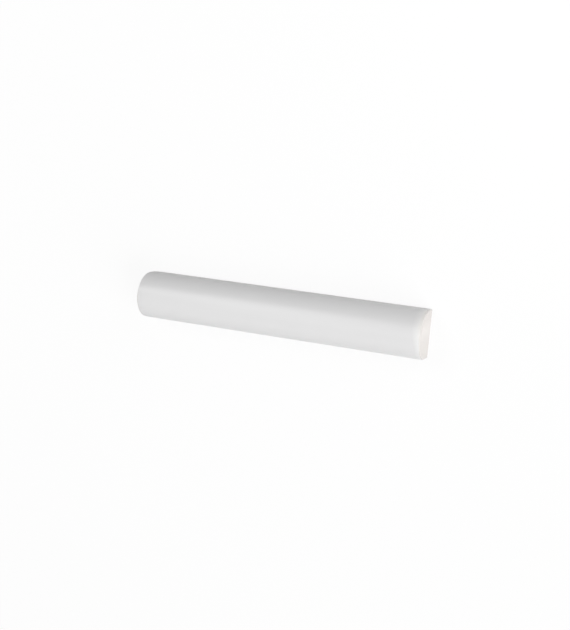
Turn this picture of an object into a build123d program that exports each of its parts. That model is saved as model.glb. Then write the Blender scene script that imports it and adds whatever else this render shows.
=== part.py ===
from build123d import *
import os

# Torello trim tile: a half-round moulding, pressed in one piece, glazed on its face and fired.
# It lies on its flat back. X runs along the tile, Y across it, and Z rises from the back to the crown.
# The origin is the middle of the back. All sizes are in millimetres.

# Section
WIDTH = 31.5            # across the back, and the diameter of the half-round crown
LAND_HEIGHT = 7.5       # straight side on each edge, between the back and the crown

# Length and ends
LENGTH = 200.0          # from end face to end face
ROLL_LENGTH = 5.5       # stretch beside each end over which the face falls away
ROLL_DROP = 0.2         # how far the face has fallen where it reaches the arris
ARRIS_RADIUS = 0.4      # small round where the glazed face meets the bare end
BACK_ARRIS = 0.35       # bevel all round the back

# Key in the back, which the adhesive grips
KEY_COUNT = 2           # grooves side by side
KEY_PITCH = 12.0        # from one groove's centre line to the next
KEY_WIDTH = 5.0         # at the mouth
KEY_DEPTH = 1.0
KEY_DRAFT = 20.0        # lean of the groove's walls, in degrees, so that the die lifts out
KEY_END_MARGIN = 12.0   # plain back left between a groove and the end of the tile

# Worked out from the sizes above
crown_radius = WIDTH / 2
half_length = LENGTH / 2
roll_radius = (ROLL_LENGTH ** 2 + ROLL_DROP ** 2) / (2 * ROLL_DROP)


def half_plan():
    """Half of the outline seen from above, from the long axis to one side, with the ends rolled."""
    edge_of_end = (half_length, crown_radius - ROLL_DROP)
    start_of_roll = (half_length - ROLL_LENGTH, crown_radius)
    side = Line((0, crown_radius), start_of_roll)
    roll = RadiusArc(start_of_roll, edge_of_end, roll_radius)
    end = Line(edge_of_end, (half_length, 0))
    axis = Line((half_length, 0), (0, 0))
    middle = Line((0, 0), (0, crown_radius))
    quarter = make_face(Wire([side, roll, end, axis, middle]))
    corner = quarter.vertices().group_by(Axis.X)[-1].sort_by(Axis.Y)[-1]
    quarter = fillet(corner, ARRIS_RADIUS)
    return quarter + mirror(quarter, Plane.YZ)


def moulding():
    """The solid section: the crown is the half plan turned about the long axis, on its straight lands."""
    half = half_plan()
    crown = revolve(Pos(0, 0, LAND_HEIGHT) * half, Axis((0, 0, LAND_HEIGHT), (1, 0, 0)), 180)
    lands = extrude(half + mirror(half, Plane.XZ), LAND_HEIGHT)
    return crown + lands


def key_grooves():
    """Blind grooves with round ends, narrower at the bottom than at the mouth."""
    mouth = SlotOverall(LENGTH - 2 * KEY_END_MARGIN, KEY_WIDTH)
    groove = extrude(mouth, KEY_DEPTH, taper=KEY_DRAFT)
    return [place * groove for place in GridLocations(0, KEY_PITCH, 1, KEY_COUNT)]


trim_tile = moulding()
back = trim_tile.faces().sort_by(Axis.Z)[0]
trim_tile = chamfer(back.edges(), BACK_ARRIS)
trim_tile = trim_tile - key_grooves()

os.makedirs("parts", exist_ok=True)
export_step(trim_tile, "parts/trim_tile.step")
print(f"thickness {LAND_HEIGHT + crown_radius:.2f} mm, volume {trim_tile.volume / 1000:.1f} cm3")
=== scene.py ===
from math import cos, pi, radians, sin, sqrt

import bmesh
import bpy
from mathutils import Matrix, Vector, noise


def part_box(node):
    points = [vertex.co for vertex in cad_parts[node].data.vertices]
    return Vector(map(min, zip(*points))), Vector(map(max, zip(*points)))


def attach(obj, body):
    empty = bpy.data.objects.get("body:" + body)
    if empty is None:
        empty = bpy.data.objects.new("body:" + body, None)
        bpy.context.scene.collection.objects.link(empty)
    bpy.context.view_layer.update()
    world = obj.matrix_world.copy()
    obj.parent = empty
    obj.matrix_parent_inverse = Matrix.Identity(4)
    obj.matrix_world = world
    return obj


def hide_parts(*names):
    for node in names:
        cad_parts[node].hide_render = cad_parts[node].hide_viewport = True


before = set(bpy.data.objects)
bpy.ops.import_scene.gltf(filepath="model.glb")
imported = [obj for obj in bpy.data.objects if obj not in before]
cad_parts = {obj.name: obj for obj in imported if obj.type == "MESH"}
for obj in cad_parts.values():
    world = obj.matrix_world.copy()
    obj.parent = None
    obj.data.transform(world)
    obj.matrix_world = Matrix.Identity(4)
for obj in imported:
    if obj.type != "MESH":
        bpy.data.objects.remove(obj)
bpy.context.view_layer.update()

# A half-round trim tile in white glaze, lying on its flat back. Units are metres. X runs along the tile,
# Y across it, and Z rises from the back to the crown.

MM = 0.001

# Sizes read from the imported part
far_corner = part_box("trim_tile")[1]
HALF_LENGTH = far_corner[0]
RADIUS = far_corner[1]
LAND = far_corner[2] - RADIUS

# Sizes of the pressed shape, as in the part
ROLL_LENGTH = 5.5 * MM
ROLL_DROP = 0.2 * MM
ROLL_RADIUS = (ROLL_LENGTH ** 2 + ROLL_DROP ** 2) / (2 * ROLL_DROP)
ARRIS = 0.4 * MM
BEVEL = 0.35 * MM
BACK_CORNER = RADIUS - ROLL_DROP - BEVEL    # half the width of the back at an end
KEY_OFFSET = 6.0 * MM
KEY_HALF_WIDTH = 2.5 * MM
KEY_DEPTH = 1.0 * MM
KEY_WALL = 0.36 * MM                        # how far the wall of a groove leans in
KEY_END_MARGIN = 12.0 * MM
KEY_HALF_STRAIGHT = HALF_LENGTH - KEY_END_MARGIN - KEY_HALF_WIDTH

# Where the glaze stops: near the arris of each end, and low on each land
ARRIS_PATH = ARRIS * pi / 2                 # along the skin, from an end face over the arris
EDGE_PATH = ARRIS_PATH + 0.45 * MM          # the stretch beside an end in which the glaze begins
WIPED_LOW = 0.83 * MM                       # bare stretch on the -Y side
WIPED_HIGH = 0.33 * MM                      # bare stretch on the +Y side
WIPED_CHANGE = 0.15                         # share of the section over which one turns into the other
WIPED_WANDER = 0.12 * MM
WIPED_WAVES = 9                             # waves of noise round the section
WIPED_SEED = (7.3, 1.7)
WIPED_FRACTAL = (0.8, 2.2, 3)
FOOT_HEIGHT = 1.1 * MM                      # above the back
FOOT_WANDER = 0.45 * MM
FOOT_WAVES = 110                            # waves of noise in a metre of the tile
FOOT_SEED = (5.1, 0.4)
FOOT_FRACTAL = (0.7, 2.1, 4)

# Mesh density
BARE_STEPS = 5
GLAZED_EDGE_STEPS = 5
ROLL_STEPS = 18
HALF_BODY_STEPS = 93
LAND_BARE_STEPS = 3
LAND_STEPS = 14
CROWN_STEPS = 96
SECTION_STEPS = 2 * (LAND_BARE_STEPS + LAND_STEPS) + CROWN_STEPS
CAP_RINGS = 24
CAP_CENTRE = LAND + 0.1 * RADIUS            # height of the point that an end face's rings close on
END_EDGE_STEPS = 60
BACK_STEPS = 9
KEY_FLOOR_STEPS = 4
WELD = 0.002 * MM

GLAZE_SLOT = 0
BODY_SLOT = 1


def clamp(value, low=0, high=1):
    return max(min(value, high), low)


def wander(place, fractal):
    """Fractal noise at a place, from -1 to 1. fractal holds its dimension, lacunarity and octaves."""
    return clamp(noise.fractal(Vector(place), *fractal), -1, 1)


def noise_at(point, scales, shift=0):
    """Plain noise with a scale of its own on each axis, and a shift along X."""
    return noise.noise(Vector((point.x * scales[0] + shift, point.y * scales[1], point.z * scales[2])))


def drop(x):
    """How far the face lies inside the plain section at a place along the tile."""
    from_end = HALF_LENGTH - abs(x)
    into_roll = max(ROLL_LENGTH - from_end, 0)
    fall = ROLL_RADIUS - sqrt(ROLL_RADIUS ** 2 - into_roll ** 2)
    into_arris = clamp(ARRIS - from_end, 0, ARRIS)
    return fall + ARRIS - sqrt(ARRIS ** 2 - into_arris ** 2)


def wiped(end, around):
    """How far over the arris from an end face the body was wiped bare. More is bare on the -Y side."""
    towards_high = clamp((around - 0.5) / WIPED_CHANGE)
    middle = WIPED_LOW + (WIPED_HIGH - WIPED_LOW) * towards_high
    place = (around * WIPED_WAVES, end * WIPED_SEED[0], WIPED_SEED[1])
    return middle + WIPED_WANDER * wander(place, WIPED_FRACTAL)


def glaze_foot(x, side):
    """The height above the back where the glaze stops on a side land."""
    place = (x * FOOT_WAVES, side * FOOT_SEED[0], FOOT_SEED[1])
    return FOOT_HEIGHT + FOOT_WANDER * wander(place, FOOT_FRACTAL)


def half_stations():
    """Steps from an end face to the middle: a step over the arris, or a place along the tile."""
    arris = [("arris", i) for i in range(BARE_STEPS + GLAZED_EDGE_STEPS)]
    start = HALF_LENGTH - ARRIS - EDGE_PATH + ARRIS_PATH
    roll_end = HALF_LENGTH - ROLL_LENGTH
    roll = [("plain", start + (roll_end - start) * i / ROLL_STEPS) for i in range(ROLL_STEPS)]
    body = [("plain", roll_end - roll_end * i / HALF_BODY_STEPS) for i in range(HALF_BODY_STEPS)]
    return arris + roll + body


def stations():
    """All steps along the tile, from the right end to the left."""
    half = half_stations()
    right = [(1, kind, value) for kind, value in half]
    left = [(-1, kind, value) for kind, value in reversed(half)]
    return right + [(1, "plain", 0.0)] + left


def place_along(station, around):
    """Where a station lies along the tile. around runs from 0 to 1 over the section."""
    end, kind, value = station
    if kind == "plain":
        return end * value
    limit = wiped(end, around)
    if value <= BARE_STEPS:
        path = limit * value / BARE_STEPS
    else:
        path = limit + (EDGE_PATH - limit) * (value - BARE_STEPS) / GLAZED_EDGE_STEPS
    if path < ARRIS_PATH:
        return end * (HALF_LENGTH - ARRIS + ARRIS * cos(path / ARRIS))
    return end * (HALF_LENGTH - ARRIS + ARRIS_PATH - path)


def skin_point(station, j):
    """A point of the moulded face. j runs from the -Y land's foot over the crown to the +Y land's foot."""
    x = place_along(station, j / SECTION_STEPS)
    reach = RADIUS - drop(x)
    side = -1 if j < SECTION_STEPS / 2 else 1
    from_foot = min(j, SECTION_STEPS - j)
    if from_foot >= LAND_BARE_STEPS + LAND_STEPS:
        lean = pi * (j - LAND_BARE_STEPS - LAND_STEPS) / CROWN_STEPS - pi / 2
        return Vector((x, reach * sin(lean), LAND + reach * cos(lean)))
    limit = glaze_foot(x, side)
    if from_foot <= LAND_BARE_STEPS:
        z = BEVEL + (limit - BEVEL) * from_foot / LAND_BARE_STEPS
    else:
        z = limit + (LAND - limit) * (from_foot - LAND_BARE_STEPS) / LAND_STEPS
    return Vector((x, side * reach, z))


def back_edge(station, side):
    """A point of the back's outline, inside the bevel."""
    end, kind, value = station
    if kind == "arris":
        return Vector((end * (HALF_LENGTH - BEVEL), side * BACK_CORNER, 0))
    x = end * value
    return Vector((x, side * (RADIUS - drop(x) - BEVEL), 0))


def key_profile(edge, side):
    """Points from the back's outline to the middle of the groove on that side, across the groove's wall."""
    centre_x = clamp(edge.x, -KEY_HALF_STRAIGHT, KEY_HALF_STRAIGHT)
    centre = Vector((centre_x, side * KEY_OFFSET, 0))
    away = (edge - centre).normalized()
    mouth = centre + away * KEY_HALF_WIDTH
    foot = centre + away * (KEY_HALF_WIDTH - KEY_WALL)
    foot.z = KEY_DEPTH
    middle = Vector((centre.x, centre.y, KEY_DEPTH))
    plain = [edge.lerp(mouth, i / BACK_STEPS) for i in range(BACK_STEPS + 1)]
    wall = [mouth.lerp(foot, 0.5)]
    floor = [foot.lerp(middle, i / KEY_FLOOR_STEPS) for i in range(KEY_FLOOR_STEPS + 1)]
    return plain + wall + floor


def add_strip(bm, rows, closed=False, slot_of=None):
    """Adds quads between neighbouring rows of points.

    slot_of gives each quad's material. Without it they are bare body.
    """
    grid = [[bm.verts.new(point) for point in row] for row in rows]
    columns = len(rows[0])
    for i in range(len(rows) - 1):
        for j in range(columns if closed else columns - 1):
            k = (j + 1) % columns
            face = bm.faces.new((grid[i][j], grid[i + 1][j], grid[i + 1][k], grid[i][k]))
            face.material_index = slot_of(i, j) if slot_of else BODY_SLOT
            face.smooth = True


def add_skin(bm, skin):
    """The moulded face, glazed but for a strip along each edge."""
    def slot_of(i, j):
        from_end = min(i, len(skin) - 2 - i)
        from_foot = min(j, SECTION_STEPS - 1 - j)
        return GLAZE_SLOT if from_end >= BARE_STEPS and from_foot >= LAND_BARE_STEPS else BODY_SLOT

    add_strip(bm, skin, slot_of=slot_of)


def add_side_bevels(bm, line, skin):
    """The bevels along the two sides of the back."""
    for side, column in ((-1, 0), (1, SECTION_STEPS)):
        foot = [row[column] for row in skin]
        add_strip(bm, [foot, [back_edge(station, side) for station in line]])


def add_end(bm, row):
    """An end face in rings round one point, and the bevel below it. row is the skin's row at that end."""
    x = row[0].x
    end = 1 if x > 0 else -1
    half = row[-1].y
    across = [half - 2 * half * k / END_EDGE_STEPS for k in range(1, END_EDGE_STEPS)]
    edge = [Vector((x, y, BEVEL)) for y in across]
    outline = row + edge
    centre = Vector((x, 0, CAP_CENTRE))
    rings = [[point.lerp(centre, ring / CAP_RINGS) for point in outline] for ring in range(CAP_RINGS + 1)]
    add_strip(bm, rings, closed=True)
    top = [Vector((x, half, BEVEL))] + edge + [Vector((x, -half, BEVEL))]
    bottom = [Vector((end * (HALF_LENGTH - BEVEL), point.y * BACK_CORNER / half, 0)) for point in top]
    add_strip(bm, [top, bottom])


def add_half_back(bm, line, side):
    """The half of the back on one side of the long axis, with its groove."""
    outer = [back_edge(station, side) for station in line]
    inner = [Vector((point.x, 0, 0)) for point in reversed(outer)]
    half_edge = END_EDGE_STEPS // 2
    left = [Vector((outer[-1].x, side * BACK_CORNER * (1 - k / half_edge), 0)) for k in range(1, half_edge)]
    right = [Vector((outer[0].x, side * BACK_CORNER * k / half_edge, 0)) for k in range(1, half_edge)]
    profiles = [key_profile(edge, side) for edge in outer + left + inner + right]
    add_strip(bm, list(zip(*profiles)), closed=True)


def build_tile():
    """The tile's closed mesh, at its nominal shape."""
    bm = bmesh.new()
    line = stations()
    skin = [[skin_point(station, j) for j in range(SECTION_STEPS + 1)] for station in line]
    add_skin(bm, skin)
    add_side_bevels(bm, line, skin)
    for row in (skin[0], skin[-1]):
        add_end(bm, row)
    for side in (-1, 1):
        add_half_back(bm, line, side)
    bmesh.ops.remove_doubles(bm, verts=bm.verts, dist=WELD)
    bmesh.ops.recalc_face_normals(bm, faces=bm.faces)
    return bm


# Relief: how far the surface sinks below the nominal shape
GLAZE_WAVE = 0.05 * MM
LONG_WAVES = (22, 45, 45)                   # waves of noise in a metre, on each axis
SHORT_WAVES = (90, 100, 100)
SHORT_WAVES_SHIFT = 9
LONG_SHARE = 0.45
SHORT_SHARE = 0.05
GRAIN = 0.035 * MM
GRAIN_SCALE = 900
GRAIN_FRACTAL = (0.9, 2.0, 3)
GLAZE_STEP = 0.06 * MM                      # from the glaze down to the bare body
EDGE_SINK = 0.35 * GLAZE_STEP               # where glaze and body meet
ON_FLOOR = 0.001 * MM                       # what lies lower than this rests on the floor


def wave(point):
    """Slow unevenness of the fired glaze, from 0 to 1."""
    long_wave = noise_at(point, LONG_WAVES)
    short_wave = noise_at(point, SHORT_WAVES, SHORT_WAVES_SHIFT)
    return clamp(0.5 + LONG_SHARE * long_wave + SHORT_SHARE * short_wave)


def grain(point):
    """Fine roughness of the pressed body, from 0 to 1."""
    return 0.5 + 0.5 * wander(point * GRAIN_SCALE, GRAIN_FRACTAL)


def relieve(bm):
    """Sinks each point a little: waves in the glaze, a step down to the bare body, and grain."""
    moves = []
    for vert in bm.verts:
        slots = {face.material_index for face in vert.link_faces}
        if slots == {GLAZE_SLOT}:
            depth = GLAZE_WAVE * wave(vert.co)
        elif slots == {BODY_SLOT}:
            step = 0 if vert.co.z < ON_FLOOR else GLAZE_STEP
            depth = GRAIN * grain(vert.co) + step
        else:
            depth = EDGE_SINK
        moves.append((vert, vert.normal * depth))
    for vert, move in moves:
        vert.co -= move


# Thickness of the glaze, which grows from 0 at an edge to 1 over a stretch of the face. Low values are
# painted lighter: partly thin glaze, partly a painted highlight near the right end
RIGHT_FILM_HIGHLIGHT_EDGE = 1.8 * MM                  # inside the right end
LEFT_FILM_HIGHLIGHT_EDGE = -1.8 * MM                  # beyond the left end, so the painted highlight stays weak there
FILM_HIGHLIGHT_FADE = 4.5 * MM
RIGHT_SIDE_RAISE = 0.6                             # how far the value is raised towards a side, which weakens the painted highlight there
RIGHT_SIDE_RAISE_START = 0.35
RIGHT_SIDE_RAISE_SLOPE = 1.2
LEFT_SIDE_RAISE = 0.9
FOOT_FADE = 0.6 * LAND

# Glaze spattered onto the bare ends
MIST_REACH = 2.8 * MM
MIST_UNEVEN = 0.4
MIST_SCALE = 350
END_SKIN = 0.12 * MM                        # what lies this near to an end belongs to its face

# Tone of the bare body
TONE_BANDS = (30, 95, 12)
TONE_SHIFT = 197.75
TONE_BAND_SHARE = 0.9
TONE_MOTTLE_SCALE = 260
TONE_MOTTLE_SHARE = 0.12


def film_and_highlight(point):
    """Thickness of the glaze, from below 0 where the body shows through to 1 over the body of the face. Low
    values are painted lighter: partly thin glaze, partly a painted highlight near the right end.

    At the right end it is raised towards -Y, which weakens the painted highlight there. At the left end it is
    raised towards both sides.
    """
    lean = point.y / RADIUS
    if point.x > 0:
        edge, side_raise = RIGHT_FILM_HIGHLIGHT_EDGE, RIGHT_SIDE_RAISE * clamp(RIGHT_SIDE_RAISE_START - RIGHT_SIDE_RAISE_SLOPE * lean)
    else:
        edge, side_raise = LEFT_FILM_HIGHLIGHT_EDGE, LEFT_SIDE_RAISE * abs(lean)
    from_end = (HALF_LENGTH - abs(point.x) - edge) / FILM_HIGHLIGHT_FADE + side_raise
    from_foot = (point.z - FOOT_HEIGHT) / FOOT_FADE
    return clamp(min(from_end, from_foot), -1)


def mist(point):
    """Glaze spattered onto the bare ends, from 1 beside the glazed edge to 0 further in."""
    if abs(point.x) < HALF_LENGTH - END_SKIN or point.z < BEVEL:
        return 0
    inset = RADIUS - ROLL_DROP - ARRIS - sqrt(point.y ** 2 + max(point.z - LAND, 0) ** 2)
    reach = MIST_REACH * (1 + MIST_UNEVEN * noise.noise(point * MIST_SCALE))
    return clamp(1 - inset / reach)


def tone(point):
    """Uneven tone of the bare body, in bands across the ends, from 0 to 1."""
    band = noise_at(point, TONE_BANDS, TONE_SHIFT)
    mottle = noise.noise(point * TONE_MOTTLE_SCALE)
    return clamp(0.5 + TONE_BAND_SHARE * band + TONE_MOTTLE_SHARE * mottle)


SHARP_EDGE = radians(38)


def tile_object():
    bm = build_tile()
    bm.normal_update()
    relieve(bm)
    mesh = bpy.data.meshes.new("glazed_trim_tile")
    bm.to_mesh(mesh)
    bm.free()
    for name, value_at in (("film_and_highlight", film_and_highlight), ("mist", mist), ("tone", tone)):
        attribute = mesh.attributes.new(name, "FLOAT", "POINT")
        attribute.data.foreach_set("value", [value_at(vert.co) for vert in mesh.vertices])
    mesh.set_sharp_from_angle(angle=SHARP_EDGE)
    tile = bpy.data.objects.new("glazed_trim_tile", mesh)
    bpy.context.collection.objects.link(tile)
    return tile


class Shader:
    """Short names for making a material's nodes."""

    def __init__(self, name):
        self.material = bpy.data.materials.new(name)
        self.material.use_nodes = True
        self.tree = self.material.node_tree
        self.surface = self.tree.nodes["Principled BSDF"]
        self.place = self.add("ShaderNodeTexCoord").outputs["Object"]

    def add(self, kind, **settings):
        node = self.tree.nodes.new(kind)
        for name, value in settings.items():
            setattr(node, name, value)
        return node

    def link(self, source, target):
        self.tree.links.new(source, target)

    def attribute(self, name):
        """A value that the mesh holds for each point."""
        return self.add("ShaderNodeAttribute", attribute_name=name).outputs["Fac"]

    def noise(self, scale, detail, roughness=0.5, stretch=(1, 1, 1)):
        mapping = self.add("ShaderNodeMapping")
        mapping.inputs["Scale"].default_value = stretch
        self.link(self.place, mapping.inputs["Vector"])
        node = self.add("ShaderNodeTexNoise")
        node.inputs["Scale"].default_value = scale
        node.inputs["Detail"].default_value = detail
        node.inputs["Roughness"].default_value = roughness
        self.link(mapping.outputs["Vector"], node.inputs["Vector"])
        return node.outputs["Fac"]

    def ramp(self, value, low, high, to_low=0.0, to_high=1.0):
        """Maps the span from low to high onto the one from to_low to to_high."""
        node = self.add("ShaderNodeMapRange")
        limits = {"From Min": low, "From Max": high, "To Min": to_low, "To Max": to_high}
        for name, number in limits.items():
            node.inputs[name].default_value = number
        self.link(value, node.inputs["Value"])
        return node.outputs["Result"]

    def mix(self, factor, first, second):
        """Blends two colours, each given as a tuple or a socket."""
        node = self.add("ShaderNodeMix", data_type="RGBA")
        self.link(factor, node.inputs["Factor"])
        for name, colour in (("A", first), ("B", second)):
            socket = [s for s in node.inputs if s.name == name and s.type == "RGBA"][0]
            if isinstance(colour, tuple):
                socket.default_value = (*colour, 1)
            else:
                self.link(colour, socket)
        return [s for s in node.outputs if s.type == "RGBA"][0]

    def bump(self, height, strength, distance, under=None):
        node = self.add("ShaderNodeBump")
        node.inputs["Strength"].default_value = strength
        node.inputs["Distance"].default_value = distance
        self.link(height, node.inputs["Height"])
        if under:
            self.link(under, node.inputs["Normal"])
        return node.outputs["Normal"]


# Colours of the glaze and of the bare body
GLAZE_THICK = (0.802, 0.800, 0.801)
# lighter colour of thin glaze, which also serves as a painted highlight near the right end
GLAZE_THIN_AND_HIGHLIGHT = (0.905, 0.901, 0.893)
GLAZE_CLOUD = (0.793, 0.790, 0.792)
GLAZE_SHEER = (0.918, 0.893, 0.860)
BODY_LIGHT = (0.780, 0.751, 0.729)
BODY_SHADE = (0.700, 0.671, 0.648)
BODY_MIST = (0.700, 0.676, 0.655)
BODY_SPECK = (0.715, 0.672, 0.635)

NOISE_SPAN = (0.3, 0.7)                     # where most of a noise texture's values lie
SHEER_SPAN = (-0.35, 0.3)                   # film value from sheer glaze to thin glaze with its painted highlight
THIN_SPAN = (0.0, 1.0)                      # film value from thin glaze with its painted highlight to thick glaze
SPECK_SPAN = (0.68, 0.76)                   # peaks of the noise that show as specks
GLAZE_ROUGHNESS = (0.28, 0.33)
GLAZE_IOR = 1.45
BODY_ROUGHNESS = (0.78, 0.92)
BODY_SPECULAR = 0.3
ALONG_Z = (1, 1, 0.12)                      # draws noise out along Z
PEEL_HEIGHT = 0.03 * MM
MARK_HEIGHT = 0.06 * MM
PORE_HEIGHT = 0.05 * MM


def glaze_material():
    """White glaze, softly clouded and with a faint orange peel.

    It is lighter where it is thin: partly thin glaze, partly a painted highlight near the right end. It is
    warm where it is sheer.
    """
    shader = Shader("white_glaze")
    film_and_highlight_value = shader.attribute("film_and_highlight")
    clouds = shader.ramp(shader.noise(scale=25, detail=2), *NOISE_SPAN)
    thick = shader.mix(clouds, GLAZE_THICK, GLAZE_CLOUD)
    # Where the film value is low the glaze is painted lighter: partly thin glaze, partly a painted highlight
    thin_and_highlight = shader.mix(shader.ramp(film_and_highlight_value, *SHEER_SPAN), GLAZE_SHEER, GLAZE_THIN_AND_HIGHLIGHT)
    colour = shader.mix(shader.ramp(film_and_highlight_value, *THIN_SPAN), thin_and_highlight, thick)
    shader.link(colour, shader.surface.inputs["Base Color"])
    rough = shader.ramp(shader.noise(scale=140, detail=4), *NOISE_SPAN, *GLAZE_ROUGHNESS)
    shader.link(rough, shader.surface.inputs["Roughness"])
    shader.surface.inputs["IOR"].default_value = GLAZE_IOR
    peel = shader.bump(shader.noise(scale=900, detail=2), strength=0.1, distance=PEEL_HEIGHT)
    shader.link(peel, shader.surface.inputs["Normal"])
    return shader.material


def body_material():
    """The bare fired body: warm white, matt and finely grained, with pores and faint die marks."""
    shader = Shader("bare_fired_body")
    base = shader.mix(shader.attribute("tone"), BODY_SHADE, BODY_LIGHT)
    specks = shader.ramp(shader.noise(scale=3200, detail=2, roughness=0.4), *SPECK_SPAN)
    speckled = shader.mix(specks, base, BODY_SPECK)
    colour = shader.mix(shader.attribute("mist"), speckled, BODY_MIST)
    shader.link(colour, shader.surface.inputs["Base Color"])
    rough = shader.ramp(shader.noise(scale=2000, detail=3), *NOISE_SPAN, *BODY_ROUGHNESS)
    shader.link(rough, shader.surface.inputs["Roughness"])
    shader.surface.inputs["Specular IOR Level"].default_value = BODY_SPECULAR
    drawn = shader.noise(scale=900, detail=3, roughness=0.6, stretch=ALONG_Z)
    marks = shader.bump(drawn, strength=0.25, distance=MARK_HEIGHT)
    fine = shader.noise(scale=4200, detail=4, roughness=0.7)
    pores = shader.bump(fine, strength=0.5, distance=PORE_HEIGHT, under=marks)
    shader.link(pores, shader.surface.inputs["Normal"])
    return shader.material


tile = tile_object()
tile.data.materials.append(glaze_material())
tile.data.materials.append(body_material())
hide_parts("trim_tile")
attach(tile, "root")

# The camera looks down on the tile from a little past its right end and its +Y side
CAMERA_TURN = radians(22.285)
CAMERA_RISE = radians(8.999)
CAMERA_ROLL = radians(4.789)
CAMERA_DISTANCE = 0.6583
CAMERA_SIDE = 0.50 * MM                     # how far the camera is shifted to its right and upwards
CAMERA_UP = -1.94 * MM
LENS = 56.40                                # in millimetres, as is the sensor
SENSOR = 36.0
NEAREST_SEEN = 0.01


def camera_axes():
    """The camera's right, up and backward directions."""
    right = Vector((cos(CAMERA_TURN), 0, -sin(CAMERA_TURN)))
    level = cos(CAMERA_RISE)
    back = Vector((sin(CAMERA_TURN) * level, sin(CAMERA_RISE), cos(CAMERA_TURN) * level))
    up = back.cross(right)
    rolled_right = right * cos(CAMERA_ROLL) + up * sin(CAMERA_ROLL)
    rolled_up = up * cos(CAMERA_ROLL) - right * sin(CAMERA_ROLL)
    return rolled_right, rolled_up, back


def add_camera():
    right, up, back = camera_axes()
    data = bpy.data.cameras.new("camera")
    data.lens = LENS
    data.sensor_width = SENSOR
    data.clip_start = NEAREST_SEEN
    camera = bpy.data.objects.new("camera", data)
    turn = Matrix((right, up, back)).transposed().to_4x4()
    place = right * CAMERA_SIDE + up * CAMERA_UP + back * CAMERA_DISTANCE
    camera.matrix_world = Matrix.Translation(place) @ turn
    bpy.context.collection.objects.link(camera)
    bpy.context.scene.camera = camera


# Square lamps aimed at the tile: name, bearing in degrees (0 is +X and 90 is +Y), height in degrees,
# distance, size and watts
LAMPS = (
    ("right_light", -30, 23, 2.4, 2.0, 60.0),
    ("corner_light", 45, 20, 0.6, 0.35, 0.80),
    ("back_light", 135, 52, 1.2, 0.6, 3.45),
    ("top_light", 180, 75, 1.2, 0.6, 1.66),
    ("left_light", 180, 23, 2.4, 2.0, 8.7),
)
AMBIENT = 0.2


def add_lamp(name, bearing, height, distance, size, watts):
    data = bpy.data.lights.new(name, "AREA")
    data.shape = "SQUARE"
    data.size = size
    data.energy = watts
    lamp = bpy.data.objects.new(name, data)
    level = cos(radians(height))
    toward = Vector((level * cos(radians(bearing)), level * sin(radians(bearing)), sin(radians(height))))
    lamp.location = toward * distance
    lamp.rotation_euler = toward.to_track_quat("Z", "Y").to_euler()
    bpy.context.collection.objects.link(lamp)


def blend(tree, factor, first, second):
    """Mixes two shaders. The factor is a number or a socket."""
    mix = tree.nodes.new("ShaderNodeMixShader")
    if isinstance(factor, float):
        mix.inputs["Fac"].default_value = factor
    else:
        tree.links.new(factor, mix.inputs["Fac"])
    tree.links.new(first, mix.inputs[1])
    tree.links.new(second, mix.inputs[2])
    return mix.outputs["Shader"]


def show_as(tree, lit, seen, mirrored, target):
    """Gives a surface separate shaders for lighting, for the camera, and for glossy and transmission rays."""
    path = tree.nodes.new("ShaderNodeLightPath")
    either = tree.nodes.new("ShaderNodeMath")
    either.operation = "MAXIMUM"
    tree.links.new(path.outputs["Is Glossy Ray"], either.inputs[0])
    tree.links.new(path.outputs["Is Transmission Ray"], either.inputs[1])
    unseen = blend(tree, either.outputs["Value"], lit, mirrored)
    tree.links.new(blend(tree, path.outputs["Is Camera Ray"], unseen, seen), target)


def plain_white(tree):
    white = tree.nodes.new("ShaderNodeEmission")
    white.inputs["Strength"].default_value = 1.0
    return white.outputs["Emission"]


FLOOR_RADIUS = 4.0
FLOOR_SIDES = 96
FLOOR_GREY = 0.3
FLOOR_ROUGHNESS = 0.9
FLOOR_WHITE = 0.88                          # share of plain white in the floor that the camera sees


def add_floor():
    """A floor that lights the tile as grey.

    It is seen as white with a faint shadow, and mirrored with a full one.
    """
    bm = bmesh.new()
    bmesh.ops.create_circle(bm, cap_ends=True, segments=FLOOR_SIDES, radius=FLOOR_RADIUS)
    mesh = bpy.data.meshes.new("floor")
    bm.to_mesh(mesh)
    bm.free()
    material = bpy.data.materials.new("floor")
    material.use_nodes = True
    tree = material.node_tree
    surface = tree.nodes["Principled BSDF"]
    surface.inputs["Base Color"].default_value = (FLOOR_GREY, FLOOR_GREY, FLOOR_GREY, 1)
    surface.inputs["Roughness"].default_value = FLOOR_ROUGHNESS
    shaded = tree.nodes.new("ShaderNodeBsdfDiffuse")
    shaded.inputs["Color"].default_value = (1, 1, 1, 1)
    mirrored = shaded.outputs["BSDF"]
    seen = blend(tree, FLOOR_WHITE, mirrored, plain_white(tree))
    show_as(tree, surface.outputs["BSDF"], seen, mirrored, tree.nodes["Material Output"].inputs["Surface"])
    mesh.materials.append(material)
    floor = bpy.data.objects.new("floor", mesh)
    bpy.context.collection.objects.link(floor)


def add_world():
    """Surroundings that light the tile a little and are seen and mirrored as white."""
    world = bpy.data.worlds.new("studio")
    bpy.context.scene.world = world
    world.use_nodes = True
    tree = world.node_tree
    ambient = tree.nodes["Background"]
    ambient.inputs["Color"].default_value = (1, 1, 1, 1)
    ambient.inputs["Strength"].default_value = AMBIENT
    white = plain_white(tree)
    show_as(tree, ambient.outputs["Background"], white, white, tree.nodes["World Output"].inputs["Surface"])


add_camera()
add_floor()
add_world()
for lamp in LAMPS:
    add_lamp(*lamp)
bpy.context.scene.view_settings.view_transform = "Standard"
